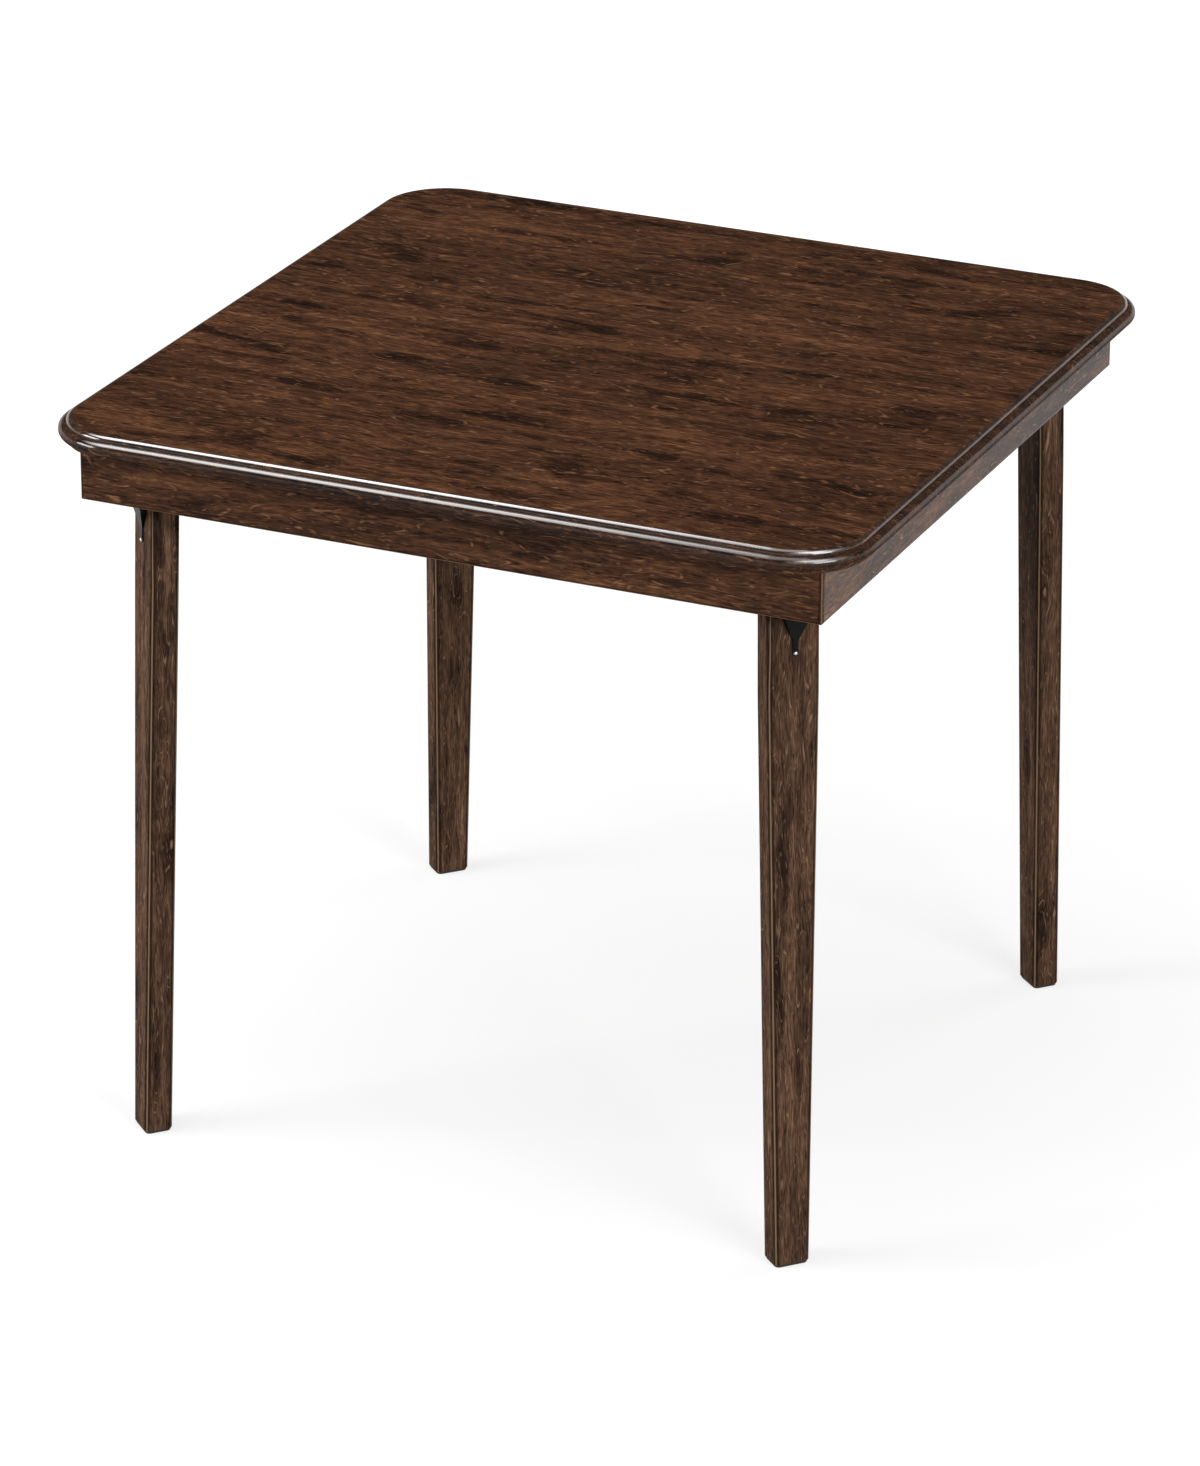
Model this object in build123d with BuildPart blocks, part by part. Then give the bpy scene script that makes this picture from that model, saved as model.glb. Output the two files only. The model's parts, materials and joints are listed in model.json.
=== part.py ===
from build123d import *

import os
from math import asin, atan2, cos, degrees, hypot, radians, sin, sqrt

# A square folding card table, standing open on its four legs.
# The origin is on the floor under the middle of the top. X runs to the right along the front
# edge, Y to the back and Z up. All sizes are in millimetres and angles in degrees.

# The table as a whole
top_width = 813.0
table_height = 737.0

# The board: a small roll set back on a full bullnose, all round
board_thick = 18.0
board_corner_radius = 75.0
roll_height = 5.0
roll_setback = 7.5
roll_flat = 0.2
nose_flat = 0.2

# The batten frame under the board, which shows as a thin lip
batten_height = 4.0
batten_setback = 8.0

# The rails
rail_height = 55.0
rail_thick = 18.0
rail_setback = 33.0
rail_edge_radius = 4.5
rail_corner_radius = 6.0

# The legs
leg_wide = 52.0
leg_foot_wide = 36.0
leg_thick = 28.5
leg_edge_radius = 6.0
leg_foot_radius = 1.2
leg_straight = 90.0
leg_blend_radius = 900.0
leg_corner_chamfer = 6.0
leg_side_clearance = 5.8
leg_splay = 1.75

# The fold
fold_clearance = 1.0
lane_clearance = 2.0
pair_clearance = 1.5

# The hinge, from its pin
hinge_offset = 10.0
pin_radius = 3.0
pin_running_clearance = 0.08
pin_fit_clearance = 0.02
pin_head_radius = 4.5
pin_head_height = 1.5
pin_tail_radius = 3.8
pin_tail_height = 1.0
barrel_radius = 5.0
barrel_length = 22.0
barrel_end_clearance = 0.3
barrel_flat_depth = 0.4

# The strap bracket on each leg
strap_thick = 1.6
strap_width = 5.0
strap_drop = 64.0
flare_drop = 52.0
flare_full_drop = 31.0
flare_width = 24.0
neck_drop = 19.0
neck_rise = 4.0
leg_top_drop = 6.0
cap_width = 16.0
cap_drop = 14.0

# The rivet through each leg and both of its straps
rivet_radius = 1.2
rivet_head_radius = 2.0
rivet_head_height = 1.4
rivet_clearance = 0.05

# The fixed bracket in each corner of the rails
sheet_thick = 2.0
bracket_low_gap = 5.0
bracket_high_gap = 4.0
bracket_bend_radius = 3.0
wing_length = 60.0
wing_end_radius = 6.0
web_gap = 3.5
ear_radius = 7.0
ear_root_height = 28.0
stop_gap = 0.2
stop_lip_width = 18.0

# The leaf spring on the web
leaf_thick = 0.8
leaf_width = 14.0
leaf_gap = 0.4
leaf_top = 30.0
leaf_bend = 14.0
leaf_tail = 8.0
leaf_tail_rise = 1.6
leaf_bend_radius = 8.0
leaf_rivet_radius = 1.2
leaf_rivet_head_radius = 2.0
leaf_rivet_head_height = 0.8
leaf_rivet_spread = 8.0
leaf_rivet_rise = 24.0

# The countersunk screws in the wings
wing_screw_radius = 1.6
wing_screw_head_radius = 3.5
wing_screw_length = 14.0
wing_screw_end_margin = 9.0
wing_screw_pitch = 24.0
wing_screw_edge_margin = 9.0

# The screws up through the rails into the board
rail_screw_radius = 2.0
rail_screw_head_radius = 4.0
rail_screw_head_height = 2.4
rail_screw_spacing = 230.0
rail_screw_bite = 11.0
rail_counterbore_radius = 4.8
rail_counterbore_depth = 30.0
screw_clearance = 0.1
pilot_overrun = 1.0

# The glue blocks
glue_block_side = 18.0
glue_block_length = 90.0
glue_block_chamfer = 6.0

# The glides
glide_thick = 2.5
glide_inset = 1.5
glide_edge_radius = 0.8
nail_radius = 1.0
nail_head_radius = 2.5
nail_head_height = 0.6
nail_recess = 0.5
nail_length = 18.0

# How far a cutting shape runs past what it cuts
overrun = 5.0

# Levels and half widths that follow from the sizes above
board_bottom = table_height - board_thick
nose_height = board_thick - roll_height
rail_top = board_bottom - batten_height
rail_bottom = rail_top - rail_height
rail_outer = top_width / 2 - rail_setback
rail_inner = rail_outer - rail_thick
rail_middle = (rail_outer + rail_inner) / 2
batten_outer = top_width / 2 - batten_setback
batten_corner_radius = board_corner_radius - batten_setback

# The pivot: as high as the folded leg allows, and as far out as its sides allow
rivet_stack = strap_thick + rivet_head_height
pivot_height = board_bottom - fold_clearance - rivet_stack - leg_thick - hinge_offset
well_corner = rail_inner * sqrt(2)
leg_side_room = (leg_side_clearance + sheet_thick) * sqrt(2)
pivot_reach = well_corner - leg_wide / 2 - leg_side_room + hinge_offset

# The leg's width along its length: straight, then a plain taper to the foot
taper_start = pivot_height - rail_bottom + leg_straight
taper_length = pivot_height - taper_start
taper_share = (pivot_reach - taper_start) / taper_length
leg_middle_wide = leg_wide - (leg_wide - leg_foot_wide) * taper_share

# Opposite legs fold side by side, so each hinge is turned a little off the diagonal
lane_half = (leg_middle_wide + lane_clearance) / 2
hinge_skew = degrees(asin(lane_half / pivot_reach))

# One pair folds flat. The other folds after it and rests against it a few degrees short.
crossing = pivot_reach - lane_half - leg_middle_wide / 2
first_fold = 90 + leg_splay
second_fold = first_fold - degrees(asin((leg_thick + pair_clearance) / crossing))

# The hinge of the back right corner. Its side plane has x outboard and y up, and the leg's
# own planes lean with it: in its side plane x is outboard and y up the leg.
pivot = Vector(pivot_reach / sqrt(2), pivot_reach / sqrt(2), pivot_height)
fold_heading = radians(45 + hinge_skew)
outboard = Vector(cos(fold_heading), sin(fold_heading), 0)
upward = Vector(0, 0, 1)
across = outboard.cross(upward)
splay = radians(leg_splay)
leg_outboard = outboard * cos(splay) + upward * sin(splay)
fold_side = Plane(origin=pivot, x_dir=outboard, z_dir=across)
leg_side = Plane(origin=pivot, x_dir=leg_outboard, z_dir=across)
leg_front = Plane(origin=pivot, x_dir=across * -1, z_dir=leg_outboard)
leg_outer_face = -hinge_offset
leg_inner_face = -hinge_offset - leg_thick
leg_middle = -hinge_offset - leg_thick / 2

# The middle of the foot, where the leg's middle line meets the floor
foot_reach_down = (pivot_height + leg_middle * sin(splay)) / cos(splay)
foot_middle = leg_side.from_local_coords((leg_middle, -foot_reach_down, 0))
foot_plane = Plane(origin=foot_middle, x_dir=across, z_dir=upward)

os.makedirs("parts", exist_ok=True)

sides = {"front": 0, "right": 90, "back": 180, "left": 270}
corners = {"back_right": 0, "back_left": 90, "front_left": 180, "front_right": 270}


def save(solid, name):
    """Write one piece under its own name."""
    solid.label = name
    export_step(solid, f"parts/{name}.step")


def save_turned(solid, name, turns):
    """Write the copies of a piece, each turned about the table's upright axis."""
    for place, turn in turns.items():
        save(solid.rotate(Axis.Z, turn), f"{name}_{place}")


# The places of the screws, shared by the pieces they pass through
rail_screw_places = [(-rail_screw_spacing, -rail_middle), (0, -rail_middle), (rail_screw_spacing, -rail_middle)]
web_face = barrel_radius + web_gap
web_back = web_face + sheet_thick
wing_end = (pivot_reach + web_back) * sqrt(2) - rail_inner - wing_length
bracket_bottom = rail_bottom + bracket_low_gap
bracket_top = rail_top - bracket_high_gap
bracket_height = bracket_top - bracket_bottom
wing_screw_places = [
    (wing_end + wing_screw_end_margin, bracket_bottom + wing_screw_edge_margin),
    (wing_end + wing_screw_end_margin, bracket_top - wing_screw_edge_margin),
    (wing_end + wing_screw_end_margin + wing_screw_pitch, bracket_bottom + bracket_height / 2),
]

# Everything between two mitres, for the pieces on the front side
mitre_wedge = [(0, 0), (-top_width, -top_width), (top_width, -top_width)]

# The board: the bullnose, then the roll on top of it, and blind holes for the rail screws
with BuildPart() as tabletop:
    with BuildSketch(Plane.XY.offset(board_bottom)):
        RectangleRounded(top_width, top_width, board_corner_radius)
    extrude(amount=nose_height)
    fillet(tabletop.edges().filter_by(Plane.XY), nose_height / 2 - nose_flat)
    with BuildSketch(Plane.XY.offset(board_bottom + nose_height)):
        roll_width = top_width - 2 * roll_setback
        RectangleRounded(roll_width, roll_width, board_corner_radius - roll_setback)
    extrude(amount=roll_height)
    fillet(tabletop.faces().sort_by(Axis.Z)[-1].edges(), roll_height - roll_flat)
    with BuildSketch(Plane.XY.offset(board_bottom)):
        with PolarLocations(0, len(sides)):
            with Locations(*rail_screw_places):
                Circle(rail_screw_radius + screw_clearance)
    extrude(amount=rail_screw_bite + pilot_overrun, mode=Mode.SUBTRACT)
save(tabletop.part, "tabletop")

# One batten, the front one, with mitred ends and its share of the rounded corners
with BuildPart() as batten:
    with BuildSketch(Plane.XY.offset(rail_top)):
        RectangleRounded(2 * batten_outer, 2 * batten_outer, batten_corner_radius)
        Rectangle(2 * rail_inner, 2 * rail_inner, mode=Mode.SUBTRACT)
        Polygon(*mitre_wedge, align=None, mode=Mode.INTERSECT)
        with Locations(*rail_screw_places):
            Circle(rail_screw_radius + screw_clearance, mode=Mode.SUBTRACT)
    extrude(amount=batten_height)
save_turned(batten.part, "edge_batten", sides)

# One rail, the front one: mitred ends, a rounded lower edge and eased corners, with
# counterbored holes up through it and small holes in its inner face for the bracket screws
with BuildPart() as rail:
    with BuildSketch(Plane.XY.offset(rail_bottom)):
        RectangleRounded(2 * rail_outer, 2 * rail_outer, rail_corner_radius)
        Rectangle(2 * rail_inner, 2 * rail_inner, mode=Mode.SUBTRACT)
        Polygon(*mitre_wedge, align=None, mode=Mode.INTERSECT)
    extrude(amount=rail_height)
    with BuildSketch(Plane.YZ) as rail_section:
        with Locations((-rail_middle, rail_bottom + rail_height / 2)):
            Rectangle(rail_thick, rail_height)
        lower_corners = rail_section.vertices().group_by(Axis.Y)[0]
        fillet(lower_corners.sort_by(Axis.X)[0], rail_edge_radius)
    extrude(amount=rail_outer, both=True, mode=Mode.INTERSECT)
    with Locations(*[Plane((x, y, rail_bottom), z_dir=(0, 0, -1)) for x, y in rail_screw_places]):
        CounterBoreHole(rail_screw_radius + screw_clearance, rail_counterbore_radius, rail_counterbore_depth)
    screw_planes = [Plane((x, -rail_inner, z), z_dir=(0, 1, 0)) for x, z in wing_screw_places]
    screw_planes += [Plane((-x, -rail_inner, z), z_dir=(0, 1, 0)) for x, z in wing_screw_places]
    with Locations(*screw_planes):
        Hole(wing_screw_radius + screw_clearance, wing_screw_length)
save_turned(rail.part, "rail", sides)

# The three screws of the front rail, heads up inside the counterbores
with BuildPart() as rail_screw:
    with BuildSketch(Plane.XZ):
        with BuildLine():
            head_top = rail_screw_head_height
            tip = rail_height - rail_counterbore_depth + batten_height + rail_screw_bite
            Polyline(
                (0, -head_top),
                (rail_screw_head_radius, -head_top),
                (rail_screw_head_radius, 0),
                (rail_screw_radius, 0),
                (rail_screw_radius, tip - rail_screw_radius),
                (0, tip),
                close=True,
            )
        make_face()
    revolve(axis=Axis.Z)
with BuildPart() as rail_screws:
    with Locations(*[(x, y, rail_bottom + rail_counterbore_depth) for x, y in rail_screw_places]):
        add(rail_screw.part)
save_turned(rail_screws.part, "rail_screws", sides)

# The glue block in the middle of the front rail, in the angle under the board
with BuildPart() as glue_block:
    with BuildSketch(Plane.YZ):
        Polygon(
            (-rail_inner, board_bottom),
            (-rail_inner, board_bottom - glue_block_side),
            (-rail_inner + glue_block_side, board_bottom),
            align=None,
        )
    extrude(amount=glue_block_length / 2, both=True)
    with BuildSketch(Plane.XY.offset(board_bottom)):
        Polygon(
            (-glue_block_length / 2, -rail_inner),
            (glue_block_length / 2, -rail_inner),
            (glue_block_length / 2 - glue_block_chamfer, -rail_inner + glue_block_side),
            (-glue_block_length / 2 + glue_block_chamfer, -rail_inner + glue_block_side),
            align=None,
        )
    extrude(amount=-glue_block_side, mode=Mode.INTERSECT)
save_turned(glue_block.part, "glue_block", sides)

# The fixed bracket in the back right corner: two wings on the rails and a web between them,
# two ears that carry the pin, and a lip under the web that stops the open leg
web_line = web_back + pivot_reach * cos(radians(hinge_skew))
web_start_back = (web_line - rail_inner * outboard.Y) / outboard.X
web_start_right = (web_line - rail_inner * outboard.X) / outboard.Y
ear_inside = barrel_length / 2 + barrel_end_clearance
ear_outside = ear_inside + sheet_thick
ear_root = web_face + sheet_thick / 2
limb_root = hinge_offset - strap_thick
limb_lean = atan2(limb_root, flare_drop) + asin(barrel_radius / hypot(limb_root, flare_drop))
standing_lean = limb_lean - splay
lip_bottom = bracket_bottom - pivot_height
lip_top = lip_bottom + sheet_thick
lip_reach = (barrel_radius + lip_top * sin(standing_lean)) / cos(standing_lean) + stop_gap
leaf_rivet_places = [(web_face, leaf_rivet_rise, side * leaf_rivet_spread / 2) for side in (-1, 1)]
leaf_rivet_planes = [Plane(fold_side.from_local_coords(place), z_dir=outboard) for place in leaf_rivet_places]
wing_screw_planes = [Plane((a, rail_inner - sheet_thick, z), z_dir=(0, -1, 0)) for a, z in wing_screw_places]
wing_screw_planes += [Plane((rail_inner - sheet_thick, a, z), z_dir=(-1, 0, 0)) for a, z in wing_screw_places]
with BuildPart() as corner_bracket:
    with BuildSketch(Plane.XY.offset(bracket_bottom)):
        with BuildLine():
            FilletPolyline(
                (wing_end, rail_inner),
                (web_start_back, rail_inner),
                (rail_inner, web_start_right),
                (rail_inner, wing_end),
                radius=bracket_bend_radius,
            )
            offset(amount=sheet_thick, side=Side.RIGHT)
        make_face()
    extrude(amount=bracket_height)
    back_wing_tip = corner_bracket.edges().filter_by(Axis.Y).group_by(Axis.X)[0]
    right_wing_tip = corner_bracket.edges().filter_by(Axis.X).group_by(Axis.Y)[0]
    fillet(back_wing_tip + right_wing_tip, wing_end_radius)
    for side in (-1, 1):
        with BuildSketch(fold_side.offset(side * (ear_inside + sheet_thick / 2))):
            with BuildLine():
                CenterArc((0, 0), ear_radius, 90, 180)
                Polyline(
                    (0, -ear_radius),
                    (ear_root, -ear_root_height / 2),
                    (ear_root, ear_root_height / 2),
                    (0, ear_radius),
                )
            make_face()
        extrude(amount=sheet_thick / 2, both=True)
    with BuildSketch(fold_side):
        Circle(pin_radius + pin_fit_clearance)
    extrude(amount=ear_outside + overrun, both=True, mode=Mode.SUBTRACT)
    with BuildSketch(fold_side):
        Polygon(
            (lip_reach, lip_bottom),
            (ear_root, lip_bottom),
            (ear_root, lip_top),
            (lip_reach, lip_top),
            align=None,
        )
    extrude(amount=stop_lip_width / 2, both=True)
    with Locations(*wing_screw_planes):
        CounterSinkHole(wing_screw_radius + screw_clearance, wing_screw_head_radius, counter_sink_angle=90)
    with Locations(*leaf_rivet_planes):
        Hole(leaf_rivet_radius + rivet_clearance, web_gap)
save_turned(corner_bracket.part, "corner_bracket", corners)

# The countersunk screws of that bracket, flush with its wings
with BuildPart() as wing_screw:
    with BuildSketch(Plane.XZ):
        with BuildLine():
            Polyline(
                (0, 0),
                (wing_screw_head_radius, 0),
                (wing_screw_radius, wing_screw_radius - wing_screw_head_radius),
                (wing_screw_radius, wing_screw_radius - wing_screw_length),
                (0, -wing_screw_length),
                close=True,
            )
        make_face()
    revolve(axis=Axis.Z)
with BuildPart() as bracket_screws:
    with Locations(*wing_screw_planes):
        add(wing_screw.part)
save_turned(bracket_screws.part, "bracket_screws", corners)

# The leaf spring: flat against the web above, then bowed in to the barrel, with a turned-out tail
with BuildPart() as lock_spring:
    with BuildSketch(fold_side):
        with BuildLine():
            FilletPolyline(
                (web_face, leaf_top),
                (web_face, leaf_bend),
                (barrel_radius + leaf_gap + leaf_thick, 0),
                (barrel_radius + leaf_gap + leaf_thick + leaf_tail_rise, -leaf_tail),
                radius=leaf_bend_radius,
            )
            offset(amount=leaf_thick, side=Side.RIGHT)
        make_face()
    extrude(amount=leaf_width / 2, both=True)
    with Locations(*leaf_rivet_planes):
        Hole(leaf_rivet_radius + rivet_clearance)
save_turned(lock_spring.part, "lock_spring", corners)

# The two rivets that hold the leaf to the web
with BuildPart() as spring_rivet:
    Cylinder(leaf_rivet_head_radius, leaf_rivet_head_height, align=(Align.CENTER, Align.CENTER, Align.MAX))
    Cylinder(leaf_rivet_radius, leaf_thick + sheet_thick, align=(Align.CENTER, Align.CENTER, Align.MIN))
    with Locations((0, 0, leaf_thick + sheet_thick)):
        Cylinder(leaf_rivet_head_radius, leaf_rivet_head_height, align=(Align.CENTER, Align.CENTER, Align.MIN))
with BuildPart() as spring_rivets:
    with Locations(*[plane.offset(-leaf_thick) for plane in leaf_rivet_planes]):
        add(spring_rivet.part)
save_turned(spring_rivets.part, "spring_rivets", corners)

# The hinge pin, headed at one end and peened over at the other
with BuildPart() as hinge_pin:
    with BuildSketch(fold_side.offset(-ear_outside)):
        Circle(pin_radius)
    extrude(amount=2 * ear_outside)
    with BuildSketch(fold_side.offset(ear_outside)):
        Circle(pin_head_radius)
    extrude(amount=pin_head_height)
    with BuildSketch(fold_side.offset(-ear_outside)):
        Circle(pin_tail_radius)
    extrude(amount=-pin_tail_height)
    ends = hinge_pin.faces().filter_by(fold_side).sort_by(Axis(fold_side.origin, fold_side.z_dir))
    fillet(ends[0].edges() + ends[-1].edges(), pin_tail_height / 2)
save_turned(hinge_pin.part, "hinge_pin", corners)

# The strap bracket of the back right leg. Its outer limb starts as a narrow strap on the leg,
# then flares, leans out to the barrel and is flanged back to the leg on both sides.
limb_tangent = (barrel_radius * cos(limb_lean), -barrel_radius * sin(limb_lean))
limb_inside = barrel_radius - strap_thick
limb_inside_tangent = (limb_inside * cos(limb_lean), -limb_inside * sin(limb_lean))
limb_inside_foot = -(hinge_offset * cos(limb_lean) + limb_inside) / sin(limb_lean)
strap_end = strap_drop + strap_width
rivet_plane = Plane(leg_side.from_local_coords((-limb_root, -strap_drop, 0)), z_dir=leg_side.x_dir)


def limb_outline(inset):
    """The flared limb seen from outboard, drawn in from its sides by a wall."""
    half = [
        (strap_width / 2 - inset, -flare_drop),
        (flare_width / 2 - inset, -flare_full_drop),
        (flare_width / 2 - inset, -neck_drop),
        (barrel_length / 2 - inset, neck_rise - neck_drop),
        (barrel_length / 2 - inset, 0),
    ]
    return half + [(-x, y) for x, y in reversed(half)]


with BuildPart() as limb_hollow:
    with BuildSketch(leg_front.offset(-hinge_offset)):
        Polygon(*limb_outline(strap_thick), align=None)
    extrude(amount=hinge_offset + barrel_radius)
    with BuildSketch(leg_side):
        Polygon(
            (leg_outer_face, limb_inside_foot),
            limb_inside_tangent,
            (0, 0),
            (leg_outer_face, 0),
            align=None,
        )
    extrude(amount=flare_width, both=True, mode=Mode.INTERSECT)

with BuildPart() as leg_bracket:
    with BuildSketch(leg_front.offset(-hinge_offset)):
        Polygon(*limb_outline(0), align=None)
        with Locations((0, -(strap_drop + flare_drop) / 2)):
            Rectangle(strap_width, strap_drop - flare_drop)
        with Locations((0, -strap_drop)):
            Circle(strap_width / 2)
    extrude(amount=hinge_offset + barrel_radius)
    with BuildSketch(leg_side):
        Polygon(
            (leg_outer_face, -strap_end),
            (-limb_root, -strap_end),
            (-limb_root, -flare_drop),
            limb_tangent,
            (0, 0),
            (leg_outer_face, -leg_top_drop),
            align=None,
        )
    extrude(amount=flare_width, both=True, mode=Mode.INTERSECT)
    add(limb_hollow.part, mode=Mode.SUBTRACT)
    with BuildSketch(leg_side):
        with BuildLine():
            Polyline(
                (0, -leg_top_drop),
                (leg_inner_face, -leg_top_drop),
                (leg_inner_face, -cap_drop),
            )
            offset(amount=strap_thick, side=Side.RIGHT)
        make_face()
    extrude(amount=cap_width / 2, both=True)
    with BuildSketch(leg_front.offset(leg_inner_face)):
        with Locations((0, -(strap_drop + cap_drop) / 2)):
            Rectangle(strap_width, strap_drop - cap_drop)
        with Locations((0, -strap_drop)):
            Circle(strap_width / 2)
    extrude(amount=-strap_thick)
    with BuildSketch(leg_side):
        Circle(barrel_radius)
        with Locations((0, barrel_radius - barrel_flat_depth)):
            Rectangle(2 * barrel_radius, barrel_radius, align=(Align.CENTER, Align.MIN), mode=Mode.SUBTRACT)
    extrude(amount=barrel_length / 2, both=True)
    with BuildSketch(leg_side):
        Circle(pin_radius + pin_running_clearance)
    extrude(amount=barrel_length, both=True, mode=Mode.SUBTRACT)
    with Locations(rivet_plane):
        Hole(rivet_radius + rivet_clearance)
save_turned(leg_bracket.part, "leg_bracket", corners)

# The rivet through both straps and the leg, with a low dome at each end
with BuildPart() as leg_rivet:
    with BuildSketch(leg_side):
        with BuildLine():
            outer_seat = -limb_root
            inner_seat = leg_inner_face - strap_thick
            rim = rivet_head_radius - strap_drop
            shank = rivet_radius - strap_drop
            TangentArc((outer_seat + rivet_head_height, -strap_drop), (outer_seat, rim), tangent=(0, 1))
            Polyline((outer_seat, rim), (outer_seat, shank), (inner_seat, shank), (inner_seat, rim))
            TangentArc((inner_seat - rivet_head_height, -strap_drop), (inner_seat, rim), tangent=(0, 1))
            Line(
                (inner_seat - rivet_head_height, -strap_drop),
                (outer_seat + rivet_head_height, -strap_drop),
            )
        make_face()
    revolve(axis=Axis(rivet_plane.origin, rivet_plane.z_dir))
save_turned(leg_rivet.part, "leg_rivet", corners)

# The back right leg: straight at the top, tapered in its width to the foot, rounded along its
# edges and cut level above its glide
taper_slope = (leg_wide - leg_foot_wide) / 2 / taper_length
leg_half_outline = [
    (leg_wide / 2 - leg_corner_chamfer, -leg_top_drop),
    (leg_wide / 2, -leg_top_drop - leg_corner_chamfer),
    (leg_wide / 2, -taper_start),
    (leg_foot_wide / 2 - taper_slope * overrun, -pivot_height - overrun),
]
with BuildPart() as leg:
    with BuildSketch(leg_front.offset(leg_inner_face)) as leg_face:
        Polygon(*leg_half_outline, *[(-x, y) for x, y in reversed(leg_half_outline)], align=None)
        fillet(leg_face.vertices().group_by(Axis.Y)[1], leg_blend_radius)
    extrude(amount=leg_thick)
    shoulder = -leg_top_drop - leg_corner_chamfer
    face_edges = leg.faces().filter_by(leg_front).edges()
    fillet(
        face_edges.filter_by(lambda edge: -pivot_height < leg_side.to_local_coords(edge.center()).Y < shoulder),
        leg_edge_radius,
    )
    split(bisect_by=Plane.XY.offset(glide_thick), keep=Keep.TOP)
    fillet(leg.faces().sort_by(Axis.Z)[0].edges(), leg_foot_radius)
    with Locations(rivet_plane):
        Hole(rivet_radius + rivet_clearance)
    with Locations(Plane(foot_middle, z_dir=(0, 0, -1))):
        Hole(nail_radius + rivet_clearance, nail_length + pilot_overrun)
save_turned(leg.part, "leg", corners)

# The glide under that foot, with a recessed hole for its nail
with BuildPart() as foot_glide:
    with BuildSketch(foot_plane):
        RectangleRounded(
            leg_foot_wide - 2 * glide_inset,
            leg_thick - 2 * glide_inset,
            leg_edge_radius - glide_inset,
        )
    extrude(amount=glide_thick)
    fillet(foot_glide.faces().sort_by(Axis.Z)[0].edges(), glide_edge_radius)
    with Locations(Plane(foot_middle, z_dir=(0, 0, -1))):
        CounterBoreHole(
            nail_radius + rivet_clearance,
            nail_head_radius + rivet_clearance,
            nail_recess + nail_head_height,
        )
save_turned(foot_glide.part, "foot_glide", corners)

# The nail up through the glide
with BuildPart() as glide_nail:
    with BuildSketch(foot_plane.offset(nail_recess)):
        Circle(nail_head_radius)
    extrude(amount=nail_head_height)
    with BuildSketch(foot_plane.offset(nail_recess + nail_head_height)):
        Circle(nail_radius)
    extrude(amount=nail_length - nail_recess - nail_head_height)
    chamfer(glide_nail.faces().sort_by(Axis.Z)[-1].edges(), nail_radius / 2)
save_turned(glide_nail.part, "glide_nail", corners)

print("pivot of the back right leg", [round(value, 3) for value in pivot])
print("its hinge axis", [round(value, 6) for value in across * -1])
print("fold of the first pair", round(first_fold, 2), "of the second", round(second_fold, 2))
print("hinge turned off the diagonal by", round(hinge_skew, 3))
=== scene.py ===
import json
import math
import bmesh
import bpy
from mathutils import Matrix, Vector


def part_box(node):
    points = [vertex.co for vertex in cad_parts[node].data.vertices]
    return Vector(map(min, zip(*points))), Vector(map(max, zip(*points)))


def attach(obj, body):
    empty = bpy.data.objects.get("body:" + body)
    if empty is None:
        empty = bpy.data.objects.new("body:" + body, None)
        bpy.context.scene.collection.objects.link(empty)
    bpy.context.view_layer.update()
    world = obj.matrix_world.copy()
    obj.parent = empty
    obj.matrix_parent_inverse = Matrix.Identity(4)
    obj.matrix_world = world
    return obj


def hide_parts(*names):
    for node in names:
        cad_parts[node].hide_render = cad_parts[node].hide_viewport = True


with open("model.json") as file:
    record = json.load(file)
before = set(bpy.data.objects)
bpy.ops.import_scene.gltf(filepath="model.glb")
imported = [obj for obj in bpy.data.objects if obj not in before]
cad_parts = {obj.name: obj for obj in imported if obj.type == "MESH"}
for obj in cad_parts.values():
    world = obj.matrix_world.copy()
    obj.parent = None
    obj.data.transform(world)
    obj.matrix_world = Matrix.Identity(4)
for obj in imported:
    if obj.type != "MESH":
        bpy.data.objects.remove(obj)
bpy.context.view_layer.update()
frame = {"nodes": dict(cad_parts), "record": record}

# %% [markdown]
# # A folding card table in dark stained wood
#
# The frame that was just loaded is the working model of the table: a moulded board, four
# mitred rails, four legs that fold in along the diagonals, and the steel fittings that carry
# them. It is already at its real size, in metres, standing on its feet. What this lesson adds
# is what the eye sees: a polished moulding, stained grain, enamelled steel, and the light.

MM = 0.001
CORNERS = ("front_left", "front_right", "back_left", "back_right")
SIDES = ("front", "right", "back", "left")
nodes = frame["nodes"]
record = frame["record"]
body_of = {name: body for body, names in record["behaviour"]["bodies"].items() for name in names}
print("pieces in the frame:", len(nodes))

# %% [markdown]
# ## The camera
#
# The picture was taken with a long lens from in front, a little to the right and well above
# the table. A long lens keeps upright lines nearly parallel. The heading and the dip of the
# view are angles, and the camera stands back along that line from a point inside the table.

# %% The camera
FRAME_PIXELS = 1466
FOCAL_PIXELS = 6433
SENSOR = 36.0
HEADING = math.radians(24.08)
DIP = math.radians(23.21)
ROLL = math.radians(0.25)
STAND_BACK = 6.2595
SIDE_STEP = -8.3 * MM
DROP = -50.1 * MM
AIM = Vector((0, 0, 0.4))

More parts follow.
